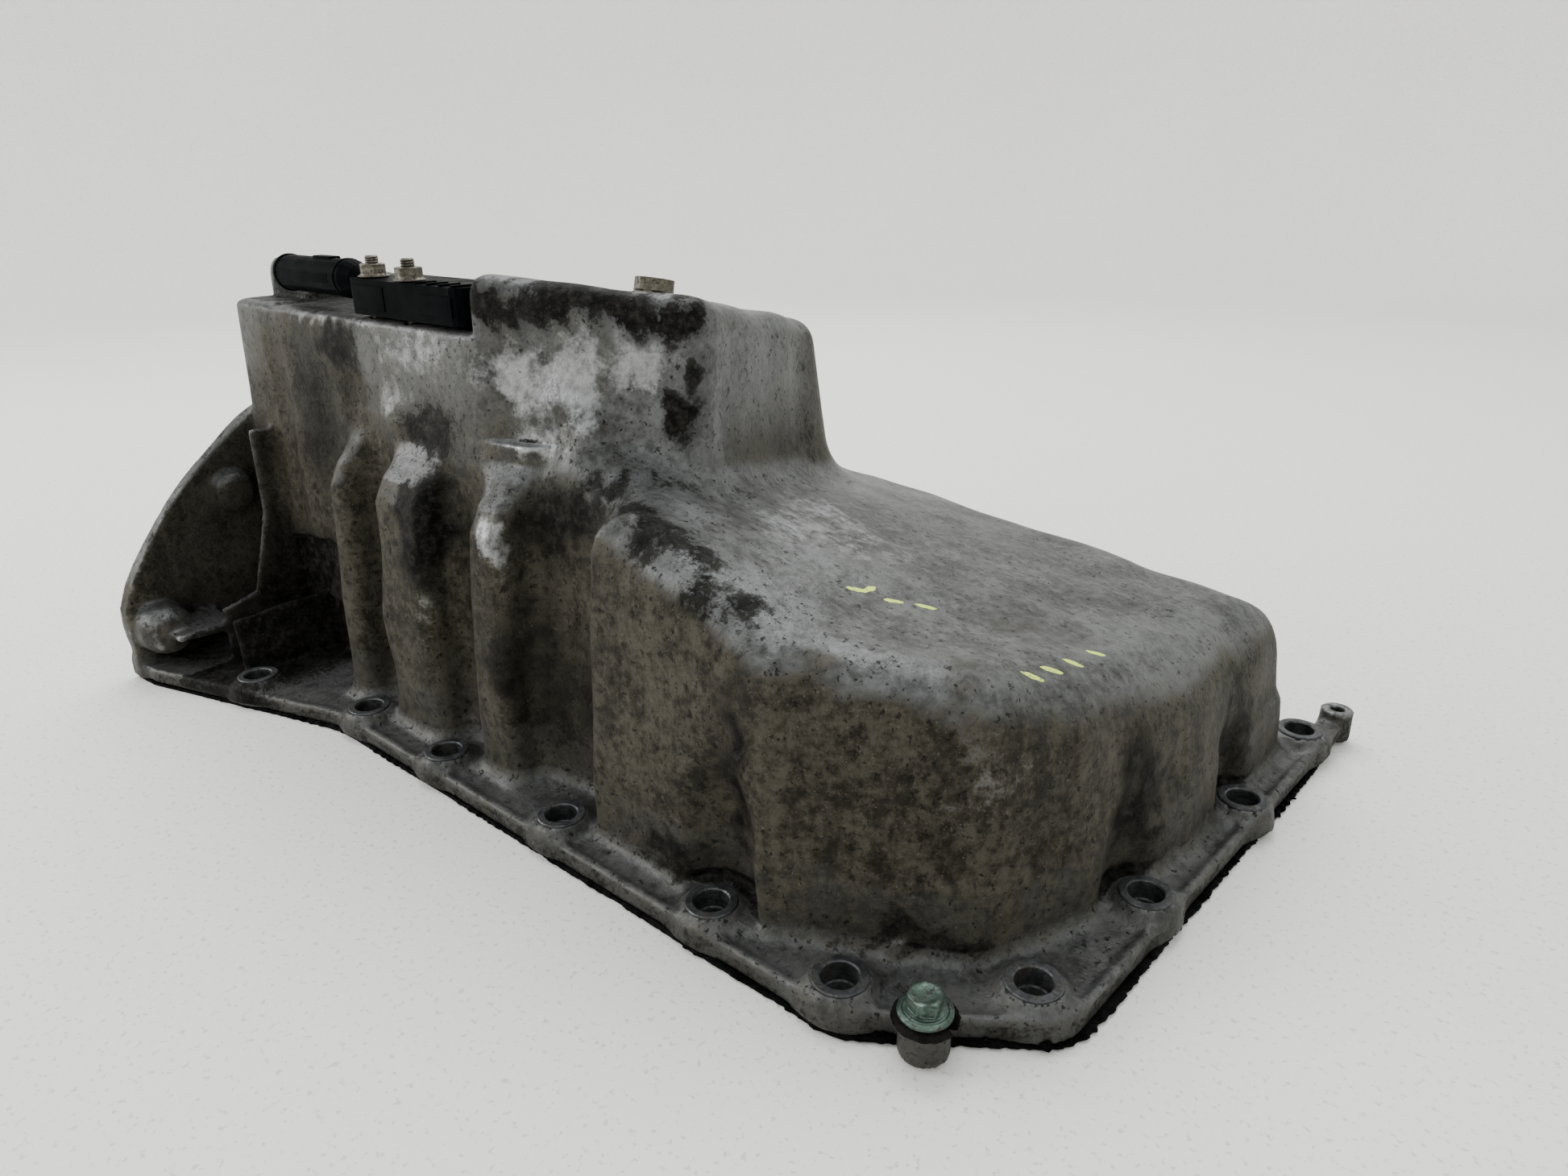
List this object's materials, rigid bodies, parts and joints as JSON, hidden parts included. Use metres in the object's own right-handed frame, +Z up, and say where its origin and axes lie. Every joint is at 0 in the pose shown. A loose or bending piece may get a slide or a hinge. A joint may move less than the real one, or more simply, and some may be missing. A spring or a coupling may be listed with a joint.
{
  "type": "engine oil pan",
  "caption": "Cast-aluminium engine oil pan standing upside down, with a deep end, a bell-housing flange, a level sensor and a drain plug that unscrews.",
  "frame": {"origin": "middle of the object's box at the height of the gasket's sealing face, which is the surface that the upturned pan stands on", "axes": "+Z up, away from the engine; +X along the crankshaft, away from the bell-housing face; Y across the engine, with the level sensor on the -Y side"},
  "size_m": [0.5074, 0.354, 0.2105],
  "materials": {
    "cast_aluminium": "sand-cast, oil-stained, dull",
    "black_sealant": "dull black rubber with squeezed-out sealant",
    "black_plastic": "moulded, satin",
    "black_rubber": "perished, crumbly",
    "plated_steel": "dull plated, oily",
    "green_zinc": "green passivated zinc",
    "copper": "tarnished copper",
    "brass_pins": "bright",
    "baffle_steel": "oily sheet"
  },
  "bodies": {
    "pan": {"pan_casting": "cast_aluminium", "pan_gasket": "black_sealant", "sensor_housing": "black_plastic", "sensor_probe_tube": "plated_steel", "sensor_oring": "black_rubber", "rubber_collar": "black_rubber", "bracket_bolt_washer": "green_zinc", "bracket_bolt": "green_zinc", "oil_baffle": "baffle_steel", "bell_dowel_left": "plated_steel", "bell_dowel_right": "plated_steel", "sensor_pin_1": "brass_pins", "sensor_pin_2": "brass_pins", "sensor_pin_3": "brass_pins", "sensor_stud_1": "plated_steel", "sensor_nut_1": "plated_steel", "sensor_stud_2": "plated_steel", "sensor_nut_2": "plated_steel", "baffle_bolt_1": "plated_steel", "baffle_bolt_2": "plated_steel", "baffle_bolt_3": "plated_steel", "baffle_bolt_4": "plated_steel"},
    "drain_seal": {"drain_washer": "copper"},
    "drain_screw": {"drain_plug": "plated_steel"}
  },
  "joints": [
    {"name": "drain_lift", "type": "slide", "parent": "pan", "child": "drain_seal", "axis": [0, 0.1961, 0.9806], "range_m": [0, 0.0135]},
    {"name": "drain_turn", "type": "hinge", "parent": "drain_seal", "child": "drain_screw", "pos_m": [-0.04015, 0.011, 0.1872], "axis": [0, 0.1961, 0.9806], "range_deg": [0, 2880]}
  ],
  "couplings": [
    {"joint": "drain_lift", "follows": "drain_turn", "m_per_rad": 0.00023873}
  ]
}
